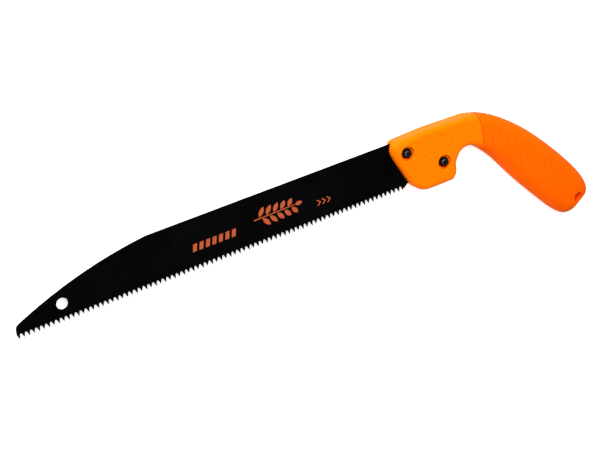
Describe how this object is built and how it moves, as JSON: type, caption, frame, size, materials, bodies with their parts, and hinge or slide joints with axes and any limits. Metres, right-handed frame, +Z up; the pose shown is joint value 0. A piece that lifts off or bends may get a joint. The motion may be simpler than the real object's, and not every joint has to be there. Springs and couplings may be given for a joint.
{
  "type": "fixed-blade pruning saw",
  "caption": "Pruning saw with a fixed, coated, coarse-toothed blade bolted into a pistol-grip plastic handle with a soft grooved grip and a lanyard hole.",
  "frame": {"origin": "under the middle of the saw's overall box, on the plane that the saw lies on", "axes": "+X from the blade's tip towards the grip, along the tooth line; +Y towards the back of the blade; +Z up, square to the blade's flat"},
  "size_m": [0.5302, 0.1232, 0.0281],
  "materials": {
    "blade_coating": "satin black low-friction coating with fine specks",
    "handle_plastic": "smooth moulded orange, semi-gloss",
    "soft_grip": "soft moulded orange-red with sunk grooves, satin",
    "fastener_steel": "black oxide"
  },
  "bodies": {
    "root": {"blade": "blade_coating", "handle_core": "handle_plastic", "grip_sleeve": "soft_grip", "front_bolt": "fastener_steel", "rear_bolt": "fastener_steel", "front_nut": "fastener_steel", "rear_nut": "fastener_steel"}
  },
  "joints": []
}
